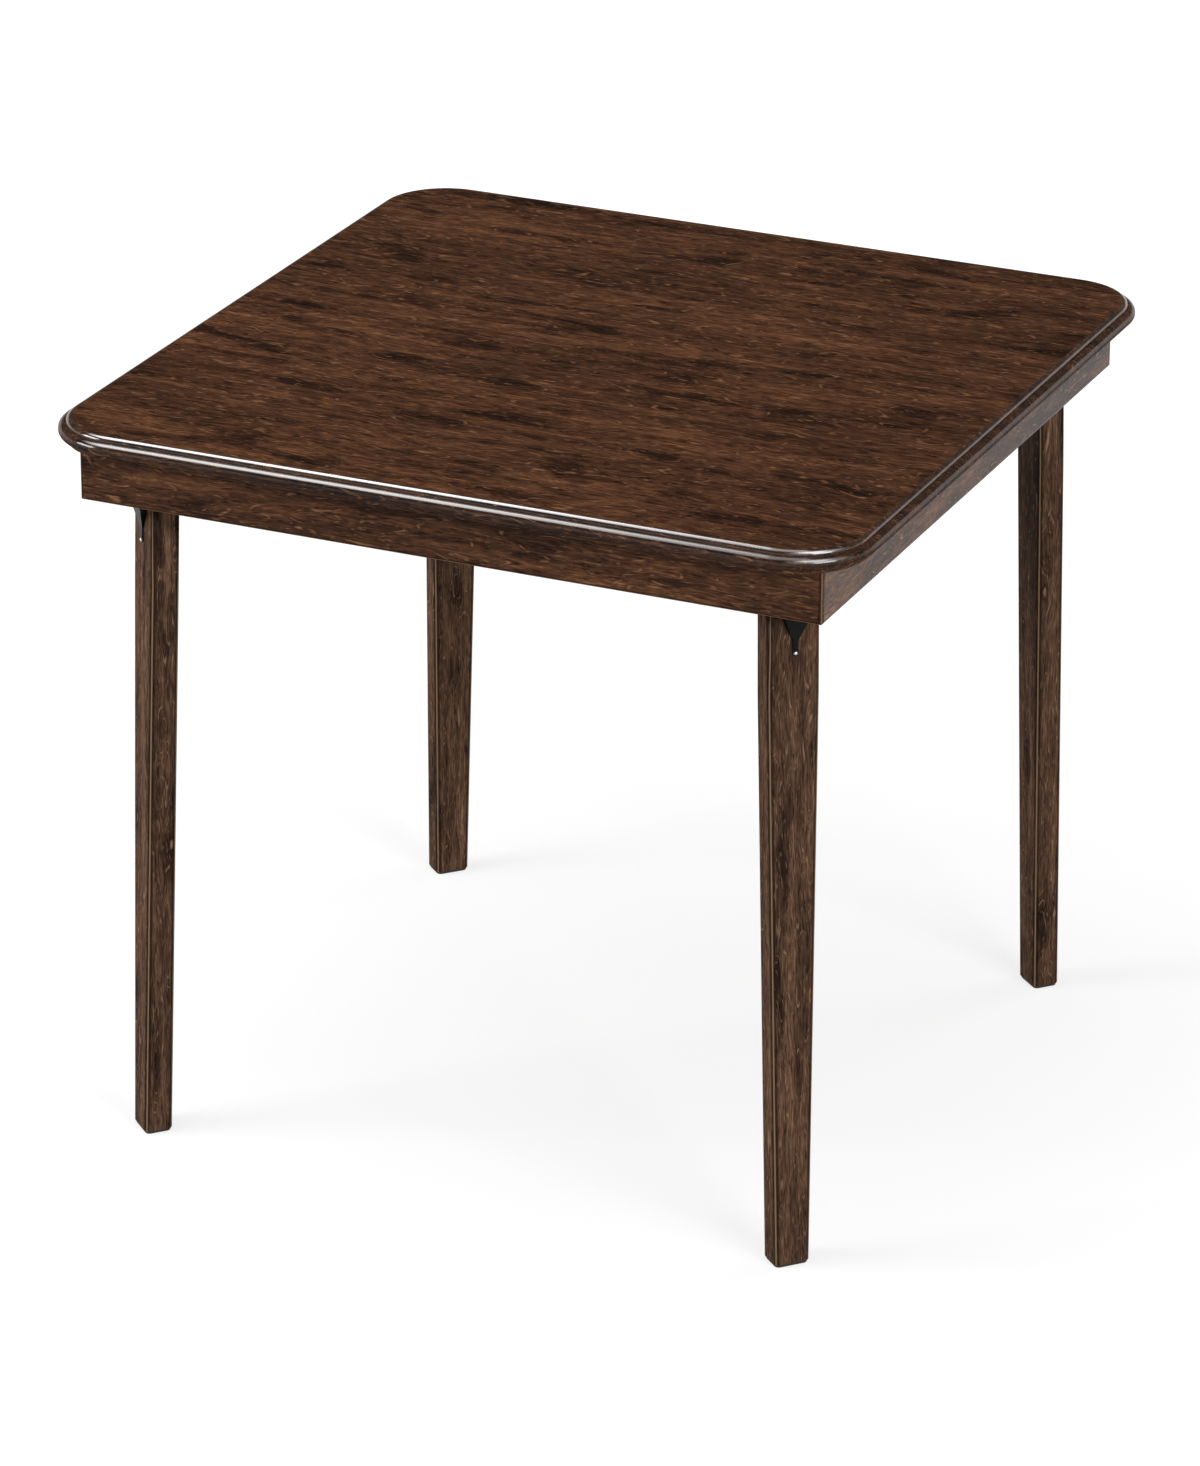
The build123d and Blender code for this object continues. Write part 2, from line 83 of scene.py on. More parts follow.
forward = Vector((-math.sin(HEADING) * math.cos(DIP), math.cos(HEADING) * math.cos(DIP), -math.sin(DIP)))
level_right = Vector((math.cos(HEADING), math.sin(HEADING), 0))
level_up = level_right.cross(forward)
right = level_right * math.cos(ROLL) + level_up * math.sin(ROLL)
up = level_up * math.cos(ROLL) - level_right * math.sin(ROLL)
lens = bpy.data.cameras.new("view")
lens.sensor_width = SENSOR
lens.lens = FOCAL_PIXELS * SENSOR / FRAME_PIXELS
camera = bpy.data.objects.new("view", lens)
bpy.context.scene.collection.objects.link(camera)
place = AIM - forward * STAND_BACK + right * SIDE_STEP + up * DROP
turn = Matrix((right, up, -forward)).transposed()
camera.matrix_world = Matrix.Translation(place) @ turn.to_4x4()
bpy.context.scene.camera = camera
print("the camera stands at", tuple(round(v, 3) for v in place))
print("its lens is", round(lens.lens, 1), "mm")

# %% [markdown]
# ## Helpers for every finish
#
# Colours are written the way a paint chart gives them, as sRGB hex values, and one function
# turns them to the linear light that a shader works in. The second function adds one node to
# a material: plain values are set on its sockets, and another node's output is linked to
# them. The third starts a material, so that each finish below is only what makes it special.

# %% Colour and node helpers
def linear(hex_code):
    """An sRGB hex colour as linear red, green, blue and alpha."""
    parts = [int(hex_code[i:i + 2], 16) / 255 for i in (1, 3, 5)]
    return tuple(p / 12.92 if p <= 0.04045 else ((p + 0.055) / 1.055) ** 2.4 for p in parts) + (1,)


def node(tree, kind, sockets=None, stops=None, **settings):
    """Add a node, choose its settings, fill or link its sockets, and give a ramp its colours."""
    made = tree.nodes.new("ShaderNode" + kind)
    for name, value in settings.items():
        setattr(made, name, value)
    for name, value in (sockets or {}).items():
        if isinstance(value, bpy.types.NodeSocket):
            tree.links.new(value, made.inputs[name])
        else:
            made.inputs[name].default_value = value
    for i, (position, colour) in enumerate(stops or []):
        bands = made.color_ramp.elements
        band = bands[i] if i < len(bands) else bands.new(position)
        band.position = position
        band.color = linear(colour)
    return made.outputs


def start_finish(name, sockets):
    """A material with a principled shader, and the piece's own coordinates to draw on."""
    material = bpy.data.materials.new(name)
    material.use_nodes = True
    tree = material.node_tree
    tree.nodes.clear()
    shader = tree.nodes.new("ShaderNodeBsdfPrincipled")
    for socket, value in sockets.items():
        shader.inputs[socket].default_value = value
    node(tree, "OutputMaterial", {"Surface": shader.outputs["BSDF"]})
    coordinates = node(tree, "TexCoord")
    return material, tree, shader, coordinates


print("the stain's mid brown in linear light:", [round(v, 3) for v in linear("#4d3325")])

# %% [markdown]
# ## Stained open-grained wood
#
# The table is an open-grained hardwood, wiped with a dark walnut stain and lacquered. Close
# to, several things can be seen, each at its own size: slow dark and warm bands along the
# board, the lines of the growth rings, which curl around darker patches, fine fibres, and
# short light hairlines where the stain was wiped off the raised grain. Each is a noise
# pattern drawn out along the grain. A photograph of wood could give the same, but a pattern
# worked out from real sizes never repeats, and it runs through the piece, so that the ends
# and the mouldings are cut from the same board as the face.

# %% The grain's patterns
# Each pattern's length along the grain and width across it, in millimetres.
BROAD_BANDS = (420, 60)
YEAR_BANDS = (190, 10)
FIBRES = (17, 1.7)
THREADS = (130, 1.1)
PORES = (16, 1.3)
KNOTS = (80, 18)
STROKES = (12, 1.6)
BREAKS = (26, 5)
SOFTWOOD_LINES = (160, 3.2)
SOFTWOOD_FIBRES = (20, 0.6)


def drawn_out(axis, length, width):
    """Cells per metre for a pattern that is long on one axis and narrow on the others."""
    return [1 / (length * MM) if axis == "XYZ"[i] else 1 / (width * MM) for i in range(3)]


def grain_noise(tree, vector, axis, size, coarse, detail, seed):
    """Noise drawn out along the grain, with cells of a pattern's size, coarse times as wide."""
    length, width = size
    spread = node(tree, "Mapping", {
        "Vector": vector, "Scale": drawn_out(axis, length, width * coarse), "Location": (seed, seed, seed)})
    return node(tree, "TexNoise", {
        "Vector": spread[0], "Scale": 1.0, "Detail": detail, "Roughness": 0.6})["Fac"]


def wandering(tree, vector, axis, length, width, reach, seed):
    """Coordinates that drift sideways, so that straight grain wavers like the real one."""
    spread = node(tree, "Mapping", {
        "Vector": vector, "Scale": drawn_out(axis, length, width), "Location": (seed, seed, seed)})
    drift = node(tree, "TexNoise", {"Vector": spread[0], "Scale": 1.0, "Detail": 2.0})["Color"]
    centred = node(tree, "VectorMath", {0: drift, 1: (0.5, 0.5, 0.5)}, operation="SUBTRACT")[0]
    sideways = [0.0 if axis == "XYZ"[i] else reach * MM for i in range(3)]
    return node(tree, "VectorMath", {0: centred, 1: sideways, 2: vector}, operation="MULTIPLY_ADD")[0]


def weighed(tree, start, patterns):
    """A tone from a start value and patterns around one half, each with its weight."""
    tone = start - sum(weight for _, weight in patterns) / 2
    for pattern, weight in patterns:
        tone = node(tree, "Math", {0: pattern, 1: weight, 2: tone}, operation="MULTIPLY_ADD")[0]
    return tone


print("a fibre's cells per metre:", [round(c) for c in drawn_out("X", *FIBRES)])

# %% The stained wood
STAIN = [(0.0, "#140b07"), (1.0, "#a57a54"), (0.28, "#2b1a11"), (0.5, "#482e1f"), (0.72, "#6b462e")]
WIPED_GRAIN = "#93694a"
# The dark beside an edge is painted shade, not stain: a rounded edge darkens there as it turns from the
# light.
PAINTED_SHADE_BESIDE_EDGE = "#1c100a"
RUBBED_EDGE = "#94704f"
RINGS_PER_KNOT = 20.0


def stained_wood(
        name, axis, coarse=1.0, turned=0.0, brightness=0.5, sheen=0.15, figure=0.8, edge_wear_and_shade=0.75,
        hue=0.5, warmth=1.0):
    """Dark walnut stain on open-grained wood, with its grain along one axis of the table.

    coarse draws the grain wider, turned is the angle of the piece's own faces to the table's
    sides, sheen is the share of the clear lacquer, figure is how clear the light rings are,
    edge_wear_and_shade is how far the edges are rubbed light and how dark the painted shade beside
    them is, and hue and warmth shift the stain off its own red, which on the legs paints a grey sheen.
    """
    material, tree, shader, coordinates = start_finish(name, {
        "Specular IOR Level": 0.0, "Coat Weight": sheen, "Coat Roughness": 0.15, "Roughness": 0.5})
    wide = wandering(tree, coordinates["Object"], axis, 150, 50 * coarse, 14 * coarse, 1.7)
    fine = wandering(tree, wide, axis, 18, 5 * coarse, 2.2 * coarse, 4.1)

    broad = grain_noise(tree, wide, axis, BROAD_BANDS, coarse, 1.0, 0.3)
    bands = grain_noise(tree, wide, axis, YEAR_BANDS, coarse, 2.0, 7.9)
    fibres = grain_noise(tree, fine, axis, FIBRES, coarse, 3.0, 3.1)
    threads = grain_noise(tree, fine, axis, THREADS, coarse, 1.0, 9.4)
    pores = grain_noise(tree, fine, axis, PORES, coarse, 0.0, 31.7)
    open_pore = node(tree, "MapRange", {"Value": pores, "From Min": 0.36, "From Max": 0.26})[0]

    # Growth rings curl around the darker knots. The lines follow one slow pattern's contours.
    knots = grain_noise(tree, wide, axis, KNOTS, coarse, 1.0, 5.3)
    shade = node(tree, "MapRange", {"Value": knots, "From Min": 0.55, "From Max": 0.76})[0]
    contours = node(tree, "Math", {0: knots, 1: RINGS_PER_KNOT / coarse}, operation="MULTIPLY")[0]
    contours = node(tree, "Math", {0: contours, 1: 1.0}, operation="PINGPONG")[0]
    line = node(tree, "MapRange", {"Value": contours, "From Max": 0.26, "To Min": 1.0, "To Max": 0.0})[0]

    tone = weighed(tree, brightness, [
        (broad, 0.35), (bands, 0.6), (fibres, 0.75), (threads, 0.35), (contours, 0.1)])
    tone = node(tree, "Math", {0: shade, 1: -0.26, 2: tone}, operation="MULTIPLY_ADD")[0]
    tone = node(tree, "Math", {0: open_pore, 1: -0.2, 2: tone}, operation="MULTIPLY_ADD")[0]
    stain = node(tree, "ValToRGB", {"Fac": tone}, stops=STAIN)[0]

    # Where the raised grain was wiped, the rings and some short strokes are left light.
    strokes = grain_noise(tree, fine, axis, STROKES, coarse, 1.0, 21.3)
    stroke = node(tree, "MapRange", {
        "Value": strokes, "From Min": 0.65, "From Max": 0.80, "To Max": 0.7})[0]
    broken = grain_noise(tree, fine, axis, BREAKS, coarse, 2.0, 15.2)
    kept = node(tree, "MapRange", {
        "Value": broken, "From Min": 0.50, "From Max": 0.66, "To Max": figure})[0]
    ring = node(tree, "Math", {0: line, 1: kept}, operation="MULTIPLY")[0]
    wiped = node(tree, "Math", {0: stroke, 1: ring}, operation="MAXIMUM")[0]
    lined = node(tree, "Mix", {"Factor": wiped, 6: stain, 7: linear(WIPED_GRAIN)}, data_type="RGBA")[2]

    # On an edge between two faces the stain is rubbed to a light line, and the dark band beside it is
    # painted shade, as where a rounded edge turns from the light.
    facing = node(tree, "Mapping", {"Vector": coordinates["Normal"], "Rotation": (0, 0, -turned)})[0]
    across = node(tree, "VectorMath", {0: facing}, operation="ABSOLUTE")[0]
    parts = node(tree, "SeparateXYZ", {0: across})
    most = node(tree, "Math", {0: parts["X"], 1: parts["Y"]}, operation="MAXIMUM")[0]
    most = node(tree, "Math", {0: most, 1: parts["Z"]}, operation="MAXIMUM")[0]
    beside = node(tree, "MapRange", {
        "Value": most, "From Min": 0.995, "From Max": 0.93, "To Max": edge_wear_and_shade})[0]
    with_painted_edge_shade = node(tree, "Mix", {
        "Factor": beside, 6: lined, 7: linear(PAINTED_SHADE_BESIDE_EDGE)}, data_type="RGBA")[2]
    rubbed = node(tree, "MapRange", {
        "Value": most, "From Min": 0.81, "From Max": 0.76, "To Max": edge_wear_and_shade})[0]
    worn = node(tree, "Mix", {"Factor": rubbed, 6: with_painted_edge_shade, 7: linear(RUBBED_EDGE)}, data_type="RGBA")[2]
    dried = node(tree, "HueSaturation", {"Hue": hue, "Saturation": warmth, "Color": worn})["Color"]
    tree.links.new(dried, shader.inputs["Base Color"])

    relief = node(tree, "Math", {0: fibres, 1: wiped}, operation="ADD")[0]
    bump = node(tree, "Bump", {"Height": relief, "Distance": 0.10 * MM, "Strength": 0.3})[0]
    tree.links.new(bump, shader.inputs["Normal"])
    return material


# %% The polish on the moulding
# Several rubbed coats mirror more than one thin coat, so this lacquer's IOR is written higher.
LACQUER_IOR = 1.75
LACQUER_ROUGHNESS = 0.13


def polish_upper_side(material, roll_foot):
    """Lacquer rubbed to a high gloss on the roll, less on the bullnose, and thin underneath."""
    tree = material.node_tree
    shader = next(item for item in tree.nodes if item.type == "BSDF_PRINCIPLED")
    shader.inputs["Coat IOR"].default_value = LACQUER_IOR
    shader.inputs["Coat Roughness"].default_value = LACQUER_ROUGHNESS
    coordinates = node(tree, "TexCoord")
    upward = node(tree, "SeparateXYZ", {0: coordinates["Normal"]})["Z"]
    rubbed = node(tree, "MapRange", {
        "Value": upward, "From Min": -0.05, "From Max": 0.45, "To Min": 0.15})[0]
    height = node(tree, "SeparateXYZ", {0: coordinates["Object"]})["Z"]
    on_roll = node(tree, "MapRange", {
        "Value": height, "From Min": roll_foot, "From Max": roll_foot + 0.4 * MM, "To Min": 0.6})[0]
    polish = node(tree, "Math", {0: rubbed, 1: on_roll}, operation="MULTIPLY")[0]
    tree.links.new(polish, shader.inputs["Coat Weight"])
    return material


LEG_TURN = math.radians(45)
field_wood = stained_wood(
    "satin_walnut_stain_on_the_field", "X", coarse=1.6, brightness=0.475, figure=0.6)
moulding_wood = stained_wood(
    "polished_walnut_stain_on_the_moulding", "X", coarse=1.2, brightness=0.37, figure=0.6, edge_wear_and_shade=0.0)
rail_wood_x = stained_wood(
    "satin_walnut_stain_grain_left_to_right", "X", coarse=1.2, brightness=0.49, sheen=0.1, figure=0.9)
# The side rails' stain is written lighter than that of the front and back rails: painted light for their
# brighter look on the lit right side.
side_rail_wood_painted_lighter = stained_wood(
    "satin_walnut_stain_grain_front_to_back_painted_lighter", "Y", coarse=1.2, brightness=0.54, sheen=0.45, figure=0.9)
batten_wood_x = stained_wood("walnut_stain_on_the_front_and_back_battens", "X", brightness=0.42, edge_wear_and_shade=0.0)
batten_wood_y = stained_wood("walnut_stain_on_the_side_battens", "Y", brightness=0.42, edge_wear_and_shade=0.0)
# The legs' stain is turned greyer and less red than the other woods: a painted grey sheen, standing for a
# soft reflection on their faces.
leg_wood_greyed_as_painted_sheen = stained_wood(
    "satin_walnut_stain_on_the_legs_greyed_as_painted_sheen", "Z", turned=LEG_TURN, coarse=0.9, brightness=0.565, sheen=0.05,
    figure=1.0, hue=0.506, warmth=0.84)
print("wood finishes made:", len(bpy.data.materials))

# %% [markdown]
# ## Steel, plastic and bare wood
#
# The brackets are pressed from sheet and dipped in black enamel, which pools a little and
# shines softly. The rivets are nickel plated, the screws and nails are zinc plated, and the
# leaf springs are heat-blued. The glides are moulded black plastic. The glue blocks were
# never meant to be seen, so they are bare planed softwood.

# %% Black enamel on pressed steel
def black_enamel():
    """Dipped black enamel: nearly black, with a soft uneven shine."""
    material, tree, shader, coordinates = start_finish(
        "black_enamel_on_pressed_steel", {"Specular IOR Level": 0.08})
    mottle = node(tree, "TexNoise", {
        "Vector": coordinates["Object"], "Scale": 1 / (6 * MM), "Detail": 4.0})["Fac"]
    colour = node(tree, "ValToRGB", {"Fac": mottle}, stops=[(0.3, "#050505"), (0.75, "#0d0c0b")])[0]
    tree.links.new(colour, shader.inputs["Base Color"])
    gloss = node(tree, "MapRange", {"Value": mottle, "To Min": 0.25, "To Max": 0.5})[0]
    tree.links.new(gloss, shader.inputs["Roughness"])
    bump = node(tree, "Bump", {"Height": mottle, "Distance": 0.05 * MM, "Strength": 0.4})[0]
    tree.links.new(bump, shader.inputs["Normal"])
    return material


# %% Plated and blued steel
def plated_steel(name, dark, light, smooth, rough, grit):
    """Plated or heat-treated steel: a metal with a slightly clouded, finely rubbed skin."""
    material, tree, shader, coordinates = start_finish(name, {"Metallic": 1.0})
    cloud = node(tree, "TexNoise", {
        "Vector": coordinates["Object"], "Scale": 1 / (grit * MM), "Detail": 5.0, "Roughness": 0.65})["Fac"]
    colour = node(tree, "ValToRGB", {"Fac": cloud}, stops=[(0.3, dark), (0.7, light)])[0]
    tree.links.new(colour, shader.inputs["Base Color"])
    gloss = node(tree, "MapRange", {
        "Value": cloud, "From Min": 0.3, "From Max": 0.7, "To Min": smooth, "To Max": rough})[0]
    tree.links.new(gloss, shader.inputs["Roughness"])
    bump = node(tree, "Bump", {"Height": cloud, "Distance": 0.03 * MM, "Strength": 0.3})[0]
    tree.links.new(bump, shader.inputs["Normal"])
    return material


# %% Moulded plastic and planed softwood
def moulded_plastic():
    """Black moulded plastic: a fine even grain from the mould, dull on its wearing face."""
    material, tree, shader, coordinates = start_finish("black_moulded_plastic", {"IOR": 1.46})
    skin = node(tree, "TexNoise", {
        "Vector": coordinates["Object"], "Scale": 1 / (0.8 * MM), "Detail": 3.0})["Fac"]
    colour = node(tree, "ValToRGB", {"Fac": skin}, stops=[(0.3, "#0c0b0a"), (0.7, "#1b1917")])[0]
    tree.links.new(colour, shader.inputs["Base Color"])
    gloss = node(tree, "MapRange", {"Value": skin, "To Min": 0.42, "To Max": 0.62})[0]
    tree.links.new(gloss, shader.inputs["Roughness"])
    bump = node(tree, "Bump", {"Height": skin, "Distance": 0.04 * MM, "Strength": 0.35})[0]
    tree.links.new(bump, shader.inputs["Normal"])
    return material


def planed_softwood(name, axis):
    """Bare planed softwood: pale straight grain with darker late-wood lines and no shine."""
    material, tree, shader, coordinates = start_finish(name, {"Roughness": 0.7, "Specular IOR Level": 0.25})
    wide = wandering(tree, coordinates["Object"], axis, 60, 20, 5, 2.2)
    lines = grain_noise(tree, wide, axis, SOFTWOOD_LINES, 1.0, 2.0, 6.1)
    fibres = grain_noise(tree, wide, axis, SOFTWOOD_FIBRES, 1.0, 3.0, 8.8)
    tone = weighed(tree, 0.5, [(lines, 1.3), (fibres, 0.5)])
    colour = node(tree, "ValToRGB", {"Fac": tone}, stops=[
        (0.25, "#8e6f4a"), (0.75, "#c9a97c"), (0.5, "#b59265")])[0]
    tree.links.new(colour, shader.inputs["Base Color"])
    bump = node(tree, "Bump", {"Height": tone, "Distance": 0.08 * MM, "Strength": 0.5})[0]
    tree.links.new(bump, shader.inputs["Normal"])
    return material


enamel = black_enamel()
nickel = plated_steel("nickel_plated_rivet_steel", "#a9a59c", "#d4d1c9", 0.18, 0.32, 2.0)
zinc = plated_steel("zinc_plated_screw_steel", "#8f9196", "#b9bbbf", 0.30, 0.48, 1.5)
blued = plated_steel("heat_blued_spring_steel", "#1d2430", "#3a4352", 0.25, 0.40, 3.0)
plain_pin = plated_steel("bright_turned_pin_steel", "#77777a", "#a3a3a5", 0.22, 0.38, 1.2)
plastic = moulded_plastic()
block_wood_x = planed_softwood("planed_softwood_grain_left_to_right", "X")
block_wood_y = planed_softwood("planed_softwood_grain_front_to_back", "Y")
print("finishes made:", len(bpy.data.materials))

# %% [markdown]
# ## Working on a mesh in code
#
# By hand, one would go into edit mode, click on some edges and bevel them. In code the
# clicking is a test on each edge or face: where its middle is, or which way it faces. These
# helpers put a piece in edit mode, pick its elements that way, and hand the finished piece
# over to the body that it moves with.

# %% Mesh helpers
WELD_DISTANCE = 0.002 * MM
NEARBY = 0.1 * MM


def only(piece):
    """Leave one piece selected and active."""
    bpy.ops.object.select_all(action="DESELECT")
    piece.select_set(True)
    bpy.context.view_layer.objects.active = piece


def pick(piece, kind, test):
    """In edit mode, select the edges or faces whose middle and normal pass a test."""
    bpy.ops.mesh.select_mode(type=kind)
    bpy.ops.mesh.select_all(action="DESELECT")
    shape = bmesh.from_edit_mesh(piece.data)
    found = 0
    for part in shape.edges if kind == "EDGE" else shape.faces:
        if kind == "EDGE":
            middle = (part.verts[0].co + part.verts[1].co) / 2
            normal = sum((face.normal for face in part.link_faces), Vector())
        else:
            middle = part.calc_center_median()
            normal = part.normal
        if test(middle, normal):
            part.select_set(True)
            found += 1
    bmesh.update_edit_mesh(piece.data)
    return found


def smooth(piece, angle):
    """Shade smooth across edges blunter than an angle, with flat faces kept flat."""
    bpy.ops.object.mode_set(mode="OBJECT")
    only(piece)
    bpy.ops.object.shade_smooth_by_angle(angle=math.radians(angle))
    even = piece.modifiers.new("even_faces", "WEIGHTED_NORMAL")
    even.keep_sharp = True
    bpy.ops.object.modifier_apply(modifier=even.name)


def hand_over(piece, materials, *names):
    """Give a finished piece its finishes and its body, and let it stand for its nodes."""
    piece.data.materials.clear()
    for material in materials:
        piece.data.materials.append(material)
    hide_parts(*names)
    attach(piece, body_of[names[0]])
    return piece


# %% [markdown]
# ## The board
#
# The board has a moulding that was run all round with one cutter: a small roll on top, set
# back on a full bullnose. In the picture the lamps draw long lines along it, so its curves
# must be smooth. It could be a profile swept round the table, but a plane whose corners are
# rounded, then extruded, rounded and inset, is how the board itself is made, and it leaves
# the flat field and the underside as clean single faces.

# %% Sizes of the board, read from the frame
# A bevel that takes a whole edge would meet itself, so each stops this short.
bevel_gap = 0.2 * MM
board_low, board_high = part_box("tabletop")
board_width = board_high.x - board_low.x
roll_height = 5 * MM
nose_height = board_high.z - board_low.z - roll_height
nose_radius = nose_height / 2 - bevel_gap
roll_radius = roll_height - bevel_gap
roll_setback = 7.5 * MM
corner_radius = 75 * MM
print("the board is", round(board_width / MM), "mm wide")
print("its bullnose is", round(nose_height / MM, 1), "mm high, under a roll of", round(roll_height / MM, 1))

# %% Modelling the board
bpy.ops.object.select_all(action="DESELECT")
bpy.ops.mesh.primitive_plane_add(size=board_width, location=(0, 0, board_low.z))
board = bpy.context.object
board.name = "moulded_board"
bpy.ops.object.transform_apply(location=True)
bpy.ops.object.mode_set(mode="EDIT")
bpy.ops.mesh.select_mode(type="VERT")
bpy.ops.mesh.select_all(action="SELECT")
bpy.ops.mesh.bevel(offset=corner_radius, segments=28, affect="VERTICES")
bpy.ops.mesh.select_mode(type="FACE")
bpy.ops.mesh.select_all(action="SELECT")
bpy.ops.mesh.extrude_region_move(TRANSFORM_OT_translate={"value": (0, 0, nose_height)})
bpy.ops.mesh.select_all(action="SELECT")
bpy.ops.mesh.normals_make_consistent(inside=False)

nose_top = board_low.z + nose_height
pick(board, "EDGE", lambda at, n: min(abs(at.z - board_low.z), abs(at.z - nose_top)) < NEARBY)
bpy.ops.mesh.bevel(offset=nose_radius, segments=10, affect="EDGES", clamp_overlap=False)
pick(board, "FACE", lambda at, n: at.z > nose_top - NEARBY and n.z > 0.999)
bpy.ops.mesh.inset(thickness=roll_setback - nose_radius)
bpy.ops.mesh.extrude_region_move(TRANSFORM_OT_translate={"value": (0, 0, roll_height)})
pick(board, "EDGE", lambda at, n: at.z > board_high.z - NEARBY)
bpy.ops.mesh.bevel(offset=roll_radius, segments=9, affect="EDGES", clamp_overlap=False)
print("faces of the moulded board:", len(bmesh.from_edit_mesh(board.data).faces))

# %% The polished moulding and the satin field
polish_upper_side(moulding_wood, board_high.z - roll_height)
field_faces = pick(board, "FACE", lambda at, n: abs(n.z) > 0.9999)
bpy.ops.mesh.select_all(action="INVERT")
smooth(board, 50)
hand_over(board, [field_wood, moulding_wood], "tabletop")
for face in board.data.polygons:
    face.material_index = 1 if face.select else 0
print("flat faces in the field's finish:", field_faces)

# %% [markdown]
# ## Smooth copies of the rails, legs and fittings
#
# The frame's own meshes are loose flat triangles, which is right for measuring and for
# collisions but shows as facets on every rounded edge. A copy of each is welded together,
# its flat triangles are joined into whole faces, and its sharp edges are eased by a hair, as
# sandpaper or a press tool leaves them. The eased edges catch the light.

# %% Eased copies
EASING_STEPS = 2
SHARP_ANGLE = 40


def eased_copy(name, new_name, easing=0.0):
    """A welded copy of a node, with its sharp edges eased by a small radius."""
    bpy.ops.object.select_all(action="DESELECT")
    piece = bpy.data.objects.new(new_name, nodes[name].data.copy())
    bpy.context.scene.collection.objects.link(piece)
    only(piece)
    bpy.ops.object.mode_set(mode="EDIT")
    bpy.ops.mesh.select_mode(type="VERT")
    bpy.ops.mesh.select_all(action="SELECT")
    bpy.ops.mesh.remove_doubles(threshold=WELD_DISTANCE)
    bpy.ops.mesh.dissolve_limited(angle_limit=math.radians(0.5))
    bpy.ops.object.mode_set(mode="OBJECT")
    if easing:
        ease = piece.modifiers.new("ease", "BEVEL")
        ease.width = easing
        ease.segments = EASING_STEPS
        ease.limit_method = "ANGLE"
        ease.angle_limit = math.radians(SHARP_ANGLE)
        only(piece)
        bpy.ops.object.modifier_apply(modifier=ease.name)
    smooth(piece, SHARP_ANGLE)
    return piece


# %% The rails and battens
for side in SIDES:
    grain = rail_wood_x if side in ("front", "back") else side_rail_wood_painted_lighter
    rail = eased_copy(f"rail_{side}", f"mitred_rail_{side}")
    hand_over(rail, [grain], f"rail_{side}")
    batten = eased_copy(f"edge_batten_{side}", f"lip_batten_{side}", easing=0.5 * MM)
    batten_grain = batten_wood_x if side in ("front", "back") else batten_wood_y
    hand_over(batten, [batten_grain], f"edge_batten_{side}")
    block = eased_copy(f"glue_block_{side}", f"softwood_block_{side}", easing=0.4 * MM)
    block_grain = block_wood_x if side in ("front", "back") else block_wood_y
    hand_over(block, [block_grain], f"glue_block_{side}")

# %% The legs and their fittings
FITTINGS = {
    "leg": ("tapered_leg", leg_wood_greyed_as_painted_sheen, 0.0),
    "leg_bracket": ("strap_bracket", enamel, 0.25 * MM),
    "corner_bracket": ("pressed_corner_bracket", enamel, 0.3 * MM),
    "leg_rivet": ("domed_rivet", nickel, 0.0),
    "foot_glide": ("foot_pad", plastic, 0.0),
    "glide_nail": ("pad_nail", zinc, 0.15 * MM),
    "hinge_pin": ("headed_pin", plain_pin, 0.0),
    "lock_spring": ("leaf_spring", blued, 0.1 * MM),
    "spring_rivets": ("leaf_rivets", plain_pin, 0.2 * MM),
}
for corner in CORNERS:
    for kind, (word, finish, easing) in FITTINGS.items():
        piece = eased_copy(f"{kind}_{corner}", f"{word}_{corner}", easing=easing)
        hand_over(piece, [finish], f"{kind}_{corner}")

# %% [markdown]
# ## The screws
#
# The frame has its screws as plain turned shapes, a head on a shank. A real one has a cross
# recess for the driver and a thread. Each kind is modelled once, head up at the origin, and
# copied to where the frame has its own. A wound thread could come from a curve, but the Screw
# modifier turns a small triangle round the axis in one step.

# %% One screw: its turned body
HEAD_SIDES = 32


def turned_body(name, rings):
    """A body from a disc that is pushed down and resized ring by ring, of radius and depth."""
    bpy.ops.object.select_all(action="DESELECT")
    first_radius, first_depth = rings[0]
    bpy.ops.mesh.primitive_circle_add(
        vertices=HEAD_SIDES, radius=first_radius, fill_type="NGON", location=(0, 0, -first_depth))
    body = bpy.context.object
    body.name = name
    bpy.ops.object.transform_apply(location=True)
    bpy.ops.object.mode_set(mode="EDIT")
    bpy.ops.mesh.select_all(action="SELECT")
    radius, depth = first_radius, first_depth
    for next_radius, next_depth in rings[1:]:
        scale = next_radius / radius
        bpy.ops.mesh.extrude_region_move(TRANSFORM_OT_translate={"value": (0, 0, depth - next_depth)})
        bpy.ops.transform.resize(value=(scale, scale, 1), center_override=(0, 0, -next_depth))
        radius, depth = next_radius, next_depth
    bpy.ops.mesh.select_all(action="SELECT")
    bpy.ops.mesh.normals_make_consistent(inside=False)
    bpy.ops.object.mode_set(mode="OBJECT")
    return body


# %% Its cross recess
def cut_cross(body, span, slot, depth):
    """Cut two crossing slots into the head, as the driver's blade needs them."""
    for length, width in ((span, slot), (slot, span)):
        bpy.ops.object.select_all(action="DESELECT")
        bpy.ops.mesh.primitive_cube_add(size=1, scale=(length, width, 2 * depth))
        blade = bpy.context.object
        bpy.ops.object.transform_apply(scale=True)
        cut = body.modifiers.new("recess", "BOOLEAN")
        cut.operation = "DIFFERENCE"
        cut.solver = "EXACT"
        cut.object = blade
        only(body)
        bpy.ops.object.modifier_apply(modifier=cut.name)
        bpy.data.objects.remove(blade)


# %% Its thread
TURN_STEPS = 16


